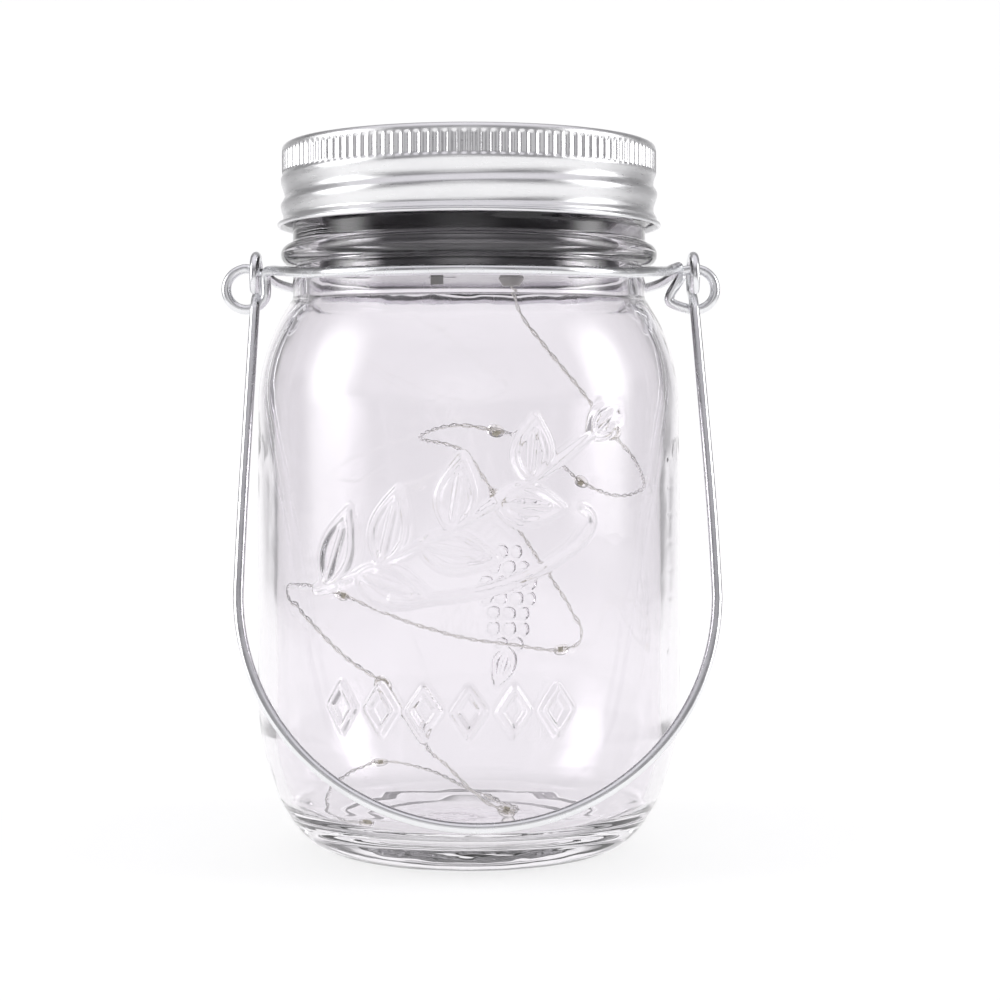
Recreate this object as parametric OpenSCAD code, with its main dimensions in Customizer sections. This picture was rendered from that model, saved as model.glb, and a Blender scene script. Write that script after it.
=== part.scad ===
// Mason jar lantern: a clear pint jar with a wire neck ring and a swinging bail, closed by a
// knurled screw band that holds a solar lid, from which a wire strand of ten small LEDs hangs.
// Millimetres, +Z up. The origin is the centre of the base, on the surface that it stands on.

/* [Jar] */
// Height of the glass from the standing surface to the sealing rim
jar_h = 131.5; // [131:0.1:132]
// Outer diameter of the straight body
body_d = 82.2; // [81.6:0.1:82.4]
// Thickness of the glass in the body
glass_t = 2.9; // [2.4:0.1:3.2]
// Outer diameter of the neck, at the root of the thread
neck_d = 68.8; // [68.6:0.1:68.9]
// Inner diameter of the mouth
mouth_d = 60.4; // [60.2:0.1:61]
// Height of the bottom of the transfer bead
bead_z = 112.3; // [112.3:0.1:112.6]
// Radius of the shoulder's curve
shoulder_r = 36.3; // [36.2:0.1:36.5]

/* [Screw band] */
// Outer diameter of the band's wall
band_d = 73; // [73:0.1:73.4]
// Height of the band
band_h = 16.2; // [16:0.1:16.6]
// Thickness of the tinplate
sheet_t = 0.4; // [0.3:0.05:0.4]

/* [Wires] */
// Diameter of the neck ring's wire
ring_wire_d = 2; // [1.8:0.1:2]
// Diameter of the bail's wire
bail_wire_d = 2; // [1.8:0.1:2]
// Height of the neck ring's centreline
ring_z = 110; // [109.8:0.1:110]
// Distance of each eye's centre from the jar's axis
eye_x = 44.2; // [44:0.1:44.4]
// Radius of an eye's centreline
eye_r = 4; // [4:0.1:4.1]
// Distance of each bail leg from the jar's axis
leg_x = 43.5; // [43.4:0.1:43.6]
// Length from the pivot to the end of the straight leg
leg_len = 64.9; // [64.7:0.1:65]
// Angle that the hanging bail leans forward, in degrees
bail_tilt = 21.2; // [21.2:0.1:21.5]

/* [Solar lid] */
// Outer diameter of the lid's flange
flange_d = 69.8; // [69:0.1:70]
// Outer diameter of the housing that hangs in the mouth
housing_d = 58.6; // [58:0.1:58.8]
// Height of the housing's underside
housing_z = 109.5; // [109.3:0.1:109.8]
// Wall of the housing
housing_t = 1.2; // [1:0.1:1.4]

/* [LED strand] */
// Diameter of the twisted wire
strand_d = 1; // [0.9:0.1:1]
// Diameter of each clear drop
drop_d = 2.6; // [2.4:0.1:2.8]

/* [Hidden] */
$fn = 96;

// Jar
body_r = body_d / 2;
neck_r = neck_d / 2;
mouth_r = mouth_d / 2;
body_top = 85;
body_low = 22;
heel_z = 10;
heel_in = 3.85;
contact_r = 27.2;
contact_w = 2;
push_up = 3;
floor_z = 6.3;
shoulder_x = body_r - shoulder_r;
neck_low = body_top + sqrt(shoulder_r * shoulder_r - pow(neck_r - shoulder_x, 2));
throat_t = 3.1;
throat_r = neck_r - throat_t;
throat_low = body_top
    + sqrt(pow(shoulder_r - glass_t, 2) - pow(throat_r - shoulder_x, 2));
bead_h = 4.4;
bead_out = 2.3;
thread_pitch = 5.08;
thread_h = 1.4;
thread_w = 1.2;
thread_z = 126.4;
thread_fade = 4;
thread_from = -450;
thread_to = 100;
thread_step = 10;

// Screw band
band_r = band_d / 2;
band_top = 136;
band_z = band_top - band_h;
band_hole_r = 30.6;
band_corner = 1.2;
lip_r = 0.65;
lip_out = 0.45;
roll_top = 130.6;
roll_fade = 1.2;
roll_in = 0.7;
roll_out = 0.3;
roll_rows = 12;
band_steps = 72;

// Neck ring, eyes and bail
ring_wire_r = ring_wire_d / 2;
bail_wire_r = bail_wire_d / 2;
ring_gap = 0.15;
ring_r = neck_r + ring_wire_r + ring_gap;
eye_z = 108;
pivot_z = eye_z + eye_r;
knuckle = 0.05;
loop_r = 3.9;
loop_drop = 1.6;

// Solar lid
gasket_t = 1.2;
gasket_edge = 0.4;
flange_z = jar_h + gasket_t;
flange_gap = 0.3;
flange_top = band_top - sheet_t - flange_gap;
housing_r = housing_d / 2;
cavity_r = housing_r - housing_t;
base_t = 1.5;
base_top = housing_z + base_t;
plate_z = 131.9;
plate_t = 1.4;
well_z = plate_z + plate_t;
well_r = 28;
well_gap = 0.2;
cell_edge = 2.5;
window_t = 0.9;
board_t = 0.8;
cell_t = 0.3;
cell_gap = 0.8;
cell_w = 12;
boss_x = 24;
boss_r = 2.6;
screw_r = 1;
head_r = 2.1;
head_h = 0.8;
head_gap = 0.2;
screw_len = 8;
drive_len = 2.4;
drive_w = 0.6;
spigot_h = 1.5;
spigot_t = 1;
fit_gap = 0.05;
lead_y = -9;
lead_x = 3;
lead_r = 0.6;

// Inside the housing
pcb_size = [30, 16, 1.2];
pcb_y = -13;
pcb_z = 114.5;
chip_at = [7, -17];
chip_size = [4.9, 3.9, 1.4];
leg_size = [0.4, 5.9, 0.3];
leg_pitch = 1.27;
choke_at = [-9, -16];
choke_size = [2, 4];
battery_r = 5.2;
battery_len = 44.5;
battery_y = 3;
battery_z = base_top + 6;
battery_end = 24.5;
nub_len = 1;
nub_r = 1.9;
spring_turns = 4;
spring_r = 3.2;
spring_wire = 0.35;
cradle_t = 1.2;
cradle_h = 12;
contact_t = 0.4;
contact_size = 8;
switch_x = -5;
switch_y = -13;
switch_size = [8.6, 3.6, 3.4];
switch_travel = 2;
slider_w = 2.4;
slider_d = 1;
slider_low = 1.4;
shoe_size = [slider_w + 1, 1.8, 1.4];
shoe_z = base_top + 0.95;
slot_size = [slider_w + switch_travel + 0.8, 1.6, 8];
case_wall = 0.6;
gland_x = 8;
gland_y = -10;
gland_z = 108;
gland_r = 1.6;
gland_flare = 2.4;
lead_gap = 0.6;
strand_lead_r = 0.3;

// LED strand: the route of its centreline from the gland to the last LED
strand_route = [
    [8, -10, 108], [8.7, -10, 106], [11, -9, 101], [24, -15, 84], [26, -18, 80.5],
    [31, -13, 74.5], [35, 4, 69], [31, 18, 67], [24, 26, 69.5], [17, 14, 75],
    [12, -2, 78.5], [5, -17, 80.5], [-3, -16, 81.5], [-9.5, -4, 79], [-1, 8, 76],
    [5.5, 12, 67], [20, 24, 45.5], [24, 26, 37.5], [20, 30, 34], [10, 34, 34.5],
    [-4, 36, 36.5], [-17, 32, 41], [-27, 24, 46], [-34, 12, 49], [-36, 0, 49.5],
    [-31, -11, 45.5], [-23, -18, 38.5], [-15.5, -24, 34], [-11.5, -20, 27], [-6.5, -6, 19],
    [0.5, -8, 11.5], [7, -12, 8.5], [9, -8, 8.5], [0, 4, 9.5], [-10, 18, 12],
    [-18.5, 20, 13], [-25.5, 8, 11], [-27, -9, 10], [-23, -21, 8.5], [-18.5, -24, 8.5]];
// The places along the route that carry an LED
led_at = [4, 8, 11, 15, 18, 22, 27, 31, 35, 39];
strand_sides = 8;
steps_between = 2;
chip_body = [1, 0.9, 0.5];

function arc(centre, r, from, to, n) =
    [for (i = [0 : n]) let (a = from + (to - from) * i / n) centre + r * [cos(a), sin(a)]];

function bend(a, b, c, n) =
    [for (i = [0 : n]) let (t = i / n) (1 - t) * (1 - t) * a + 2 * t * (1 - t) * b + t * t * c];

function unit(v) = v / norm(v);

function spline(a, b, c, d, t) = 0.5 * (2 * b + (c - a) * t
    + (2 * a - 5 * b + 4 * c - d) * t * t + (3 * b - 3 * c + d - a) * t * t * t);

// Points along a smooth curve through every point of the route
function smooth(p, n) = let (last = len(p) - 1)
    [for (i = [0 : last - 1]) for (k = [0 : n - 1])
        spline(p[max(i - 1, 0)], p[i], p[i + 1], p[min(i + 2, last)], k / n), p[last]];

function tangents(p) = let (last = len(p) - 1)
    [for (i = [0 : last]) unit(p[min(i + 1, last)] - p[max(i - 1, 0)])];

function across(v, t) = unit(v - (v * t) * t);

// Joins rings of s points each, laid one after another, into a closed skin
module skin(points, s) {
    rings = len(points) / s;
    sides = [for (i = [0 : rings - 2]) for (j = [0 : s - 1])
        let (k = (j + 1) % s)
        each [[i * s + j, (i + 1) * s + j, (i + 1) * s + k], [i * s + j, (i + 1) * s + k, i * s + k]]];
    polyhedron(points = points, faces = concat(
        [[for (j = [0 : s - 1]) j]], sides,
        [[for (j = [s - 1 : -1 : 0]) (rings - 1) * s + j]]));
}

// Joins the rings of s points each into a closed hoop, the last to the first
module hoop(points, s) {
    rings = len(points) / s;
    polyhedron(points = points, faces = [for (i = [0 : rings - 1]) for (j = [0 : s - 1])
        let (k = (j + 1) % s, n = (i + 1) % rings)
        each [[i * s + j, n * s + j, n * s + k], [i * s + j, n * s + k, i * s + k]]]);
}

// A round wire along the points p
module wire(p, r, s) {
    t = tangents(p);
    side = [for (i = 0, n = across([1, 0, 0], t[0]); i < len(p);
        i = i + 1, n = i < len(p) ? across(n, t[i]) : n) n];
    skin([for (i = [0 : len(p) - 1]) for (j = [0 : s - 1])
        let (a = 360 * j / s)
        p[i] + r * (cos(a) * side[i] + sin(a) * cross(t[i], side[i]))], s);
}

// The jar's thread: a ridge that climbs one pitch a turn and fades in and out at its ends
module thread_ridge() {
    n = (thread_to - thread_from) / thread_step;
    skin([for (i = [0 : n])
        let (a = thread_from + i * thread_step, up = thread_z + thread_pitch * a / 360,
            top = thread_h * min(1, 0.1 + min(i, n - i) / thread_fade))
        for (q = [[-0.5, thread_w], [0.1, thread_w], [top, 0.45 * thread_w],
            [top, -0.45 * thread_w], [0.1, -thread_w], [-0.5, -thread_w]])
        [(neck_r + q[0]) * cos(a), (neck_r + q[0]) * sin(a), up + q[1]]], 6);
}

// A straight round rod from a to b
module rod(a, b, r) {
    v = b - a;
    translate(a)
        rotate([0, acos(v[2] / norm(v)), atan2(v[1], v[0])])
            cylinder(h = norm(v), r = r, $fn = 48);
}

module ball_at(p, r) {
    translate(p)
        sphere(r = r, $fn = 48);
}

module glass_jar() {
    outer = concat(
        [[0, push_up], [19, push_up - 0.3], [contact_r - contact_w - 1.5, push_up - 1.2],
            [contact_r - contact_w, 0]],
        bend([contact_r, 0], [33, 0.9], [body_r - heel_in, heel_z], 10),
        bend([body_r - 1.7, 16], [body_r, body_low], [body_r, 30], 6),
        arc([shoulder_x, body_top], shoulder_r, 0,
            asin((neck_low - body_top) / shoulder_r), 16));
    bead = [for (i = [0 : 10]) let (a = -90 + 18 * i)
        [neck_r + bead_out * cos(a), bead_z + bead_h / 2 * (1 + sin(a))]];
    rim = concat(arc([neck_r - 1.2, jar_h - 1.2], 1.2, 0, 90, 5),
        arc([mouth_r + 1, jar_h - 1], 1, 90, 180, 5));
    inner = concat(
        [[mouth_r, 121], [throat_r, 117.5]],
        arc([shoulder_x, body_top], shoulder_r - glass_t,
            asin((throat_low - body_top) / (shoulder_r - glass_t)), 0, 16),
        [[body_r - glass_t, body_low]],
        bend([body_r - glass_t - 3.1, 11], [33.7, 6.4], [28, floor_z], 8),
        [[0, floor_z + 0.5]]);
    color([0.86, 0.89, 0.91, 0.35]) {
        rotate_extrude()
            polygon(concat(outer, bead, rim, inner));
        thread_ridge();
    }
}

module eye() {
    translate([eye_x, 0, eye_z])
        rotate([90, 0, 0])
            rotate_extrude()
                translate([eye_r, 0])
                    circle(r = ring_wire_r, $fn = 48);
}

module neck_wire() {
    color([0.72, 0.73, 0.74]) {
        translate([0, 0, ring_z])
            rotate_extrude()
                translate([ring_r, 0])
                    circle(r = ring_wire_r, $fn = 48);
        for (turn = [0, 180])
            rotate([0, 0, turn]) {
                eye();
                rod([ring_r, 0, ring_z], [eye_x - eye_r, 0, eye_z], ring_wire_r - knuckle);
            }
    }
}

module bail_handle() {
    color([0.74, 0.75, 0.76])
        translate([0, 0, pivot_z])
            rotate([-bail_tilt, 0, 0]) {
                for (side = [-1, 1]) {
                    translate([side * leg_x, 0, -loop_drop])
                        rotate([0, 90, 0])
                            rotate_extrude()
                                translate([loop_r, 0])
                                    circle(r = bail_wire_r, $fn = 48);
                    translate([side * leg_x, 0, -leg_len])
                        cylinder(h = leg_len - loop_drop - loop_r, r = bail_wire_r, $fn = 48);
                    ball_at([side * leg_x, 0, -leg_len], bail_wire_r + knuckle);
                }
                translate([0, 0, -leg_len])
                    rotate([-90, 0, 0])
                        rotate_extrude(angle = 180)
                            translate([leg_x, 0])
                                circle(r = bail_wire_r, $fn = 48);
            }
}

// How far the band's wall is rolled in or out at angle a and height z, to match the jar's thread
function rolled(a, z) = let (turn = (z - thread_z - thread_pitch * a / 360) / thread_pitch,
        low = (z - band_z - lip_r * 2) / roll_fade, high = (roll_top - z) / roll_fade)
    max(0, min(1, low, high)) * (roll_out + roll_in) / 2 * cos(360 * turn)
        + max(0, min(1, low, high)) * (roll_out - roll_in) / 2;

module screw_band() {
    corner = [band_r - band_corner, band_top - band_corner];
    levels = [for (i = [0 : roll_rows]) band_z + 2 * lip_r
        + (roll_top - band_z - 2 * lip_r) * i / roll_rows];
    lip = [band_r + lip_out, band_z + lip_r];
    section = concat(
        [[band_hole_r, band_top - sheet_t], [band_hole_r, band_top]],
        arc(corner, band_corner, 90, 0, 4),
        [for (i = [roll_rows : -1 : 0]) [band_r, levels[i]]],
        arc(lip, lip_r, 60, -150, 6),
        [for (z = levels) [band_r - sheet_t, z]],
        arc(corner, band_corner - sheet_t, 0, 90, 3));
    color([0.8, 0.8, 0.81])
        hoop([for (i = [0 : band_steps - 1]) for (q = section)
            let (a = 360 * i / band_steps, r = q[0] + rolled(a, q[1]))
            [r * cos(a), r * sin(a), q[1]]], len(section));
}

module rim_gasket() {
    color([0.12, 0.12, 0.12])
        rotate_extrude()
            translate([mouth_r + gasket_edge, jar_h])
                square([neck_r - mouth_r - 2 * gasket_edge, gasket_t]);
}

module at_bosses() {
    for (a = [90, 210, 330])
        rotate([0, 0, a])
            translate([boss_x, 0, 0])
                children();
}

module lid_shell() {
    wall_z = base_top + fit_gap;
    color([0.06, 0.06, 0.065])
        difference() {
            union() {
                translate([0, 0, flange_z])
                    cylinder(h = flange_top - flange_z, d = flange_d);
                translate([0, 0, wall_z])
                    cylinder(h = flange_z + 1 - wall_z, r = housing_r);
            }
            translate([0, 0, well_z])
                cylinder(h = 5, r = well_r);
            difference() {
                translate([0, 0, wall_z - 1])
                    cylinder(h = plate_z - wall_z + 1, r = cavity_r);
                at_bosses()
                    translate([0, 0, wall_z])
                        cylinder(h = 30, r = boss_r, $fn = 32);
            }
            at_bosses()
                translate([0, 0, wall_z - 1])
                    cylinder(h = 12, r = screw_r + fit_gap, $fn = 32);
            for (side = [-1, 1])
                translate([side * lead_x, lead_y, plate_z - 1])
                    cylinder(h = plate_t + 2, r = lead_r + 0.2, $fn = 32);
        }
}

module panel_board() {
    color([0.1, 0.12, 0.2])
        translate([0, 0, well_z])
            cylinder(h = board_t, r = well_r - well_gap);
}

module solar_cells() {
    color([0.05, 0.08, 0.25])
        intersection() {
            translate([0, 0, well_z + board_t])
                cylinder(h = cell_t, r = well_r - cell_edge);
            for (i = [0 : 3])
                translate([(i - 2) * (cell_w + cell_gap) + cell_gap / 2, -30, well_z])
                    cube([cell_w, 60, 5]);
        }
}

module panel_window() {
    low = well_z + board_t + cell_t;
    rim = well_r - well_gap;
    color([0.5, 0.55, 0.7, 0.4])
        rotate_extrude()
            polygon([[0, low], [rim, low], [rim, low + window_t / 2],
                [rim - 0.8, low + window_t - 0.1], [0, low + window_t]]);
}

module housing_base() {
    color([0.07, 0.07, 0.075])
        difference() {
            union() {
                translate([0, 0, housing_z])
                    cylinder(h = base_t, r = housing_r);
                translate([0, 0, base_top - fit_gap])
                    difference() {
                        cylinder(h = spigot_h, r = cavity_r - well_gap);
                        translate([0, 0, -1])
                            cylinder(h = spigot_h + 2, r = cavity_r - well_gap - spigot_t);
                    }
                for (side = [-1, 1])
                    translate([side * (battery_end + contact_t + cradle_t / 2),
                            battery_y, base_top - 0.5 + cradle_h / 2])
                        cube([cradle_t, contact_size, cradle_h], center = true);
            }
            translate([gland_x, gland_y, housing_z - 1])
                cylinder(h = base_t + 2, r = gland_r + fit_gap, $fn = 32);
            translate([switch_x, switch_y, housing_z])
                cube(slot_size, center = true);
            at_bosses()
                translate([0, 0, housing_z - 1]) {
                    cylinder(h = base_t + 2, r = screw_r + 0.3, $fn = 32);
                    cylinder(h = 1 + head_h + head_gap / 2, r = head_r + head_gap, $fn = 32);
                }
        }
}

module cover_screws() {
    color([0.6, 0.6, 0.62])
        at_bosses()
            difference() {
                union() {
                    translate([0, 0, housing_z + head_gap / 2])
                        cylinder(h = head_h, r = head_r, $fn = 32);
                    translate([0, 0, housing_z + head_h / 2])
                        cylinder(h = screw_len, r = screw_r, $fn = 32);
                }
                for (turn = [0, 90])
                    rotate([0, 0, turn])
                        translate([0, 0, housing_z + head_gap / 2])
                            cube([drive_len, drive_w, head_h], center = true);
            }
}

module circuit_board() {
    color([0.1, 0.35, 0.15])
        translate([-pcb_size[0] / 2, pcb_y - pcb_size[1] / 2, pcb_z])
            cube(pcb_size);
}

module driver_chip() {
    color([0.05, 0.05, 0.05])
        translate([chip_at[0], chip_at[1], pcb_z + pcb_size[2]]) {
            translate([0, 0, leg_size[2] - 0.1])
                cube(chip_size);
            for (i = [0 : 3])
                translate([0.35 + leg_pitch * i, (chip_size[1] - leg_size[1]) / 2, 0])
                    cube(leg_size);
        }
}

module choke_coil() {
    color([0.3, 0.45, 0.35])
        translate([choke_at[0], choke_at[1], pcb_z + pcb_size[2]])
            cylinder(h = choke_size[1], r = choke_size[0], $fn = 32);
}

module battery_cell() {
    color([0.15, 0.5, 0.3])
        translate([battery_end - battery_len, battery_y, battery_z])
            rotate([0, 90, 0]) {
                cylinder(h = battery_len - nub_len, r = battery_r);
                cylinder(h = battery_len, r = nub_r, $fn = 32);
            }
}

module battery_spring() {
    from = -battery_end + spring_wire + fit_gap;
    long = 2 * (battery_end - spring_wire - fit_gap) - battery_len;
    n = spring_turns * 12;
    color([0.75, 0.75, 0.77])
        wire([for (i = [0 : n]) let (a = 30 * i)
            [from + long * i / n, battery_y + spring_r * cos(a), battery_z + spring_r * sin(a)]],
            spring_wire, 6);
}

module battery_contacts() {
    color([0.78, 0.78, 0.8])
        for (side = [-1, 1])
            translate([side * (battery_end + contact_t / 2), battery_y, battery_z])
                cube([contact_t, contact_size, contact_size], center = true);
}

module switch_case() {
    color([0.7, 0.7, 0.72])
        translate([switch_x, switch_y, base_top + fit_gap + switch_size[2] / 2])
            difference() {
                cube(switch_size, center = true);
                cube(switch_size - 2 * case_wall * [1, 1, 1], center = true);
                translate([0, 0, -switch_size[2] / 2])
                    cube([slot_size[0], slot_size[1], switch_size[2]], center = true);
            }
}

module switch_slider() {
    color([0.85, 0.85, 0.85])
        translate([switch_x - switch_travel / 2, switch_y, 0]) {
            translate([-shoe_size[0] / 2, -shoe_size[1] / 2, shoe_z])
                cube(shoe_size);
            translate([-slider_w / 2, -slider_d / 2, housing_z - slider_low])
                cube([slider_w, slider_d, shoe_z + 0.2 - housing_z + slider_low]);
        }
}

module strand_gland() {
    color([0.1, 0.1, 0.1])
        translate([gland_x, gland_y, 0]) {
            translate([0, 0, gland_z])
                cylinder(h = housing_z - gland_z, r1 = gland_r, r2 = gland_flare, $fn = 48);
            translate([0, 0, housing_z - 0.1])
                cylinder(h = base_t + 0.6, r = gland_r, $fn = 32);
        }
}

module strand_leads() {
    low = base_top + 0.5;
    color([0.8, 0.8, 0.82])
        for (side = [-1, 1])
            translate([gland_x + side * lead_gap, gland_y, low])
                cylinder(h = pcb_z - low, r = strand_lead_r, $fn = 24);
}

module panel_leads() {
    low = pcb_z + pcb_size[2];
    for (side = [-1, 1])
        color(side > 0 ? [0.8, 0.1, 0.1] : [0.08, 0.08, 0.08])
            translate([side * lead_x, lead_y, low])
                cylinder(h = well_z - low, r = lead_r, $fn = 24);
}

module strand_wire() {
    color([0.8, 0.8, 0.78])
        wire(smooth(strand_route, steps_between), strand_d / 2, strand_sides);
}

module led_chips() {
    color([0.95, 0.9, 0.5])
        for (i = led_at)
            translate(strand_route[i])
                cube(chip_body, center = true);
}

module led_drops() {
    color([0.9, 0.9, 0.85, 0.5])
        for (i = led_at)
            ball_at(strand_route[i], drop_d / 2);
}

glass_jar();
neck_wire();
bail_handle();
screw_band();
rim_gasket();
lid_shell();
panel_board();
solar_cells();
panel_window();
housing_base();
cover_screws();
circuit_board();
driver_chip();
choke_coil();
battery_cell();
battery_spring();
battery_contacts();
switch_case();
switch_slider();
strand_gland();
strand_leads();
panel_leads();
strand_wire();
led_chips();
led_drops();
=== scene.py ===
import math

import bpy
import numpy as np
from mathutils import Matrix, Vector


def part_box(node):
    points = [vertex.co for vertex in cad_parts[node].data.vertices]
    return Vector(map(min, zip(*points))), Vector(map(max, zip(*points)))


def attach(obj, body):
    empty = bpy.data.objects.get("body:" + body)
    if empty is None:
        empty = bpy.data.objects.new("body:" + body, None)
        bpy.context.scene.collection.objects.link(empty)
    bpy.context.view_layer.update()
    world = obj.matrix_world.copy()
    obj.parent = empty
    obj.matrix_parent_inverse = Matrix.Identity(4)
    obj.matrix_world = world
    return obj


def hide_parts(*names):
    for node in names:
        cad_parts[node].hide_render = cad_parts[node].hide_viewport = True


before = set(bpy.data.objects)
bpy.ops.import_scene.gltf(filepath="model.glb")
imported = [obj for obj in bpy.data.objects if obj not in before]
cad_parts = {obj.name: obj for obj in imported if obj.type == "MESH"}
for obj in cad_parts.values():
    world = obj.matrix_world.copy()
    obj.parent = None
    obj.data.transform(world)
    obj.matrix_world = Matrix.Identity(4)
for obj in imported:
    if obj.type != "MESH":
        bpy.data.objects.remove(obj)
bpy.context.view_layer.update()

MM = 0.001

# ---------------------------------------------------------------- driving sizes, in millimetres
JAR_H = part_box("glass_jar")[1][2] / MM
BAND_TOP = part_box("screw_band")[1][2] / MM
BAND_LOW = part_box("screw_band")[0][2] / MM
BODY_R = 41.05
NECK_R = 34.4
MOUTH_R = 30.2
GLASS_T = 2.9
SHOULDER_R = 36.3
BODY_TOP = 85.0
CONTACT_R = 27.2
FLOOR_Z = 6.3
BEAD_Z = 114.5
PITCH = 5.08
THREAD_Z = 126.4
WIRE_R = 1.0
PIVOT_Z = 112.0
TILT = math.radians(21.2)


# ---------------------------------------------------------------- small tools for curves and meshes
def arc(cx, cy, r, start, end, n=24):
    """Points on a circle, from one angle to another, in degrees."""
    a = np.radians(np.linspace(start, end, n + 1))
    return np.stack([cx + r * np.cos(a), cy + r * np.sin(a)], 1)


def bend(a, b, c, n=16):
    """A quadratic curve from a to c that b pulls on."""
    t = np.linspace(0, 1, n + 1)[:, None]
    return (1 - t) ** 2 * np.array(a) + 2 * t * (1 - t) * np.array(b) + t ** 2 * np.array(c)


def length_along(line):
    """How far each point is along the line."""
    return np.concatenate([[0], np.cumsum(np.linalg.norm(np.diff(line, axis=0), axis=1))])


def spaced(line, step):
    """The line again with its points at most step apart."""
    line = np.array(line, float)
    along = length_along(line)
    at = np.linspace(0, along[-1], max(2, math.ceil(along[-1] / step) + 1))
    return np.stack([np.interp(at, along, line[:, k]) for k in range(line.shape[1])], 1)


def joined(*lines):
    """Lines laid end to end, without the points that they share."""
    out = [np.array(lines[0], float)]
    for line in lines[1:]:
        line = np.array(line, float)
        out.append(line[1:] if np.linalg.norm(line[0] - out[-1][-1]) < 1e-6 else line)
    return np.concatenate(out)


def through(points, n):
    """A smooth curve through every point, with n steps between neighbours."""
    p = np.array(points, float)
    last = len(p) - 1
    t = (np.arange(n) / n)[:, None]
    out = []
    for i in range(last):
        a, b, c, d = p[max(i - 1, 0)], p[i], p[i + 1], p[min(i + 2, last)]
        out.append(0.5 * (2 * b + (c - a) * t + (2 * a - 5 * b + 4 * c - d) * t ** 2
                          + (3 * b - 3 * c + d - a) * t ** 3))
    return np.concatenate(out + [p[last:]])


def smoothstep(x):
    """0 below 0, 1 above 1 and a smooth rise between."""
    x = np.clip(x, 0, 1)
    return x * x * (3 - 2 * x)


def along_frames(path):
    """The direction and two sideways directions at each point, without twist."""
    t = np.gradient(path, axis=0)
    t /= np.linalg.norm(t, axis=1)[:, None]
    seed = np.array([0.0, 0, 1]) if abs(t[0][2]) < 0.9 else np.array([1.0, 0, 0])
    side = []
    n = np.cross(t[0], seed)
    for d in t:
        n = n - (n @ d) * d
        n /= np.linalg.norm(n)
        side.append(n)
    side = np.array(side)
    return t, side, np.cross(t, side)


def grid_faces(rings, s, loop=False):
    """Quads between rings of s points each; loop joins the last ring to the first."""
    i = np.arange(rings if loop else rings - 1)[:, None]
    j = np.arange(s)[None]
    n = (i + 1) % rings
    k = (j + 1) % s
    quads = np.stack([i * s + j, n * s + j, n * s + k, i * s + k], -1).reshape(-1, 4)
    return quads.tolist()


def tube(path, radius, sides=16, loop=False, dome=True):
    """Points and faces of a round wire along the path. Open ends are domed or flat."""
    path = np.array(path, float)
    radius = np.full(len(path), float(radius)) if np.isscalar(radius) else np.array(radius, float)
    if dome and not loop:
        t0, t1 = path[0] - path[1], path[-1] - path[-2]
        t0, t1 = t0 / np.linalg.norm(t0), t1 / np.linalg.norm(t1)
        a = np.radians([80, 55, 28])
        head = [path[0] + t0 * radius[0] * math.sin(x) * 0.6 for x in a]
        tail = [path[-1] + t1 * radius[-1] * math.sin(x) * 0.6 for x in a[::-1]]
        path = np.concatenate([head, path, tail])
        radius = np.concatenate([radius[0] * np.cos(a), radius, radius[-1] * np.cos(a[::-1])])
    _, n, b = along_frames(path)
    a = np.linspace(0, 2 * math.pi, sides, endpoint=False)
    ring = (path[:, None] + radius[:, None, None]
            * (np.cos(a)[None, :, None] * n[:, None] + np.sin(a)[None, :, None] * b[:, None]))
    faces = grid_faces(len(path), sides, loop)
    if not loop:
        faces.append(list(range(sides)))
        faces.append(list(range((len(path) - 1) * sides, len(path) * sides))[::-1])
    return ring.reshape(-1, 3), faces


def turned(profile, angles, offset=None):
    """A profile of (radius, height) turned about Z. offset(angle, height, row) adds to the radius."""
    p = np.array(profile, float)
    a, row = np.meshgrid(angles, np.arange(len(p)), indexing="ij")
    r, z = p[row, 0], p[row, 1]
    if offset is not None:
        r = r + offset(a, z, row)
    points = np.stack([r * np.cos(a), r * np.sin(a), z], -1).reshape(-1, 3)
    return points, len(p)


def revolve(profile, angles, offset=None, closed=True):
    """A turned skin. An open profile gets a small flat face at each end, near the axis."""
    points, s = turned(profile, angles, offset)
    n = len(angles)
    if closed:
        return points, grid_faces(n, s, loop=True)
    i = np.arange(n)[:, None]
    j = np.arange(s - 1)[None]
    k = (i + 1) % n
    quads = np.stack([i * s + j, k * s + j, k * s + j + 1, i * s + j + 1], -1).reshape(-1, 4)
    faces = quads.tolist()
    faces.append([int(x) * s for x in range(n)][::-1])
    faces.append([int(x) * s + s - 1 for x in range(n)])
    return points, faces


def merged(parts):
    """Several (points, faces) as one."""
    points, faces, start = [], [], 0
    for p, f in parts:
        points.append(np.array(p, float))
        faces += [[v + start for v in face] for face in f]
        start += len(p)
    return np.concatenate(points), faces


def piece(name, shape, material, body, stands_for=(), smooth=True):
    """A Blender object from points in millimetres, riding on a body."""
    points, faces = shape
    mesh = bpy.data.meshes.new(name)
    mesh.from_pydata((np.array(points) * MM).tolist(), [], faces)
    mesh.validate()
    mesh.polygons.foreach_set("use_smooth", [smooth] * len(mesh.polygons))
    mesh.materials.append(material)
    mesh.update()
    o = bpy.data.objects.new(name, mesh)
    bpy.context.scene.collection.objects.link(o)
    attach(o, body)
    if stands_for:
        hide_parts(*stands_for)
    return o


def facing_out(shape):
    """The shape with its faces turned outwards, judged by the volume inside its quads."""
    points, faces = shape
    p = np.array(points, float)
    p = p - p.mean(0)
    a, b, c, d = (p[np.array([f for f in faces if len(f) == 4])[:, k]] for k in range(4))
    volume = (a * (np.cross(b, c) + np.cross(c, d))).sum()
    return shape if volume > 0 else (points, [f[::-1] for f in faces])


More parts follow.
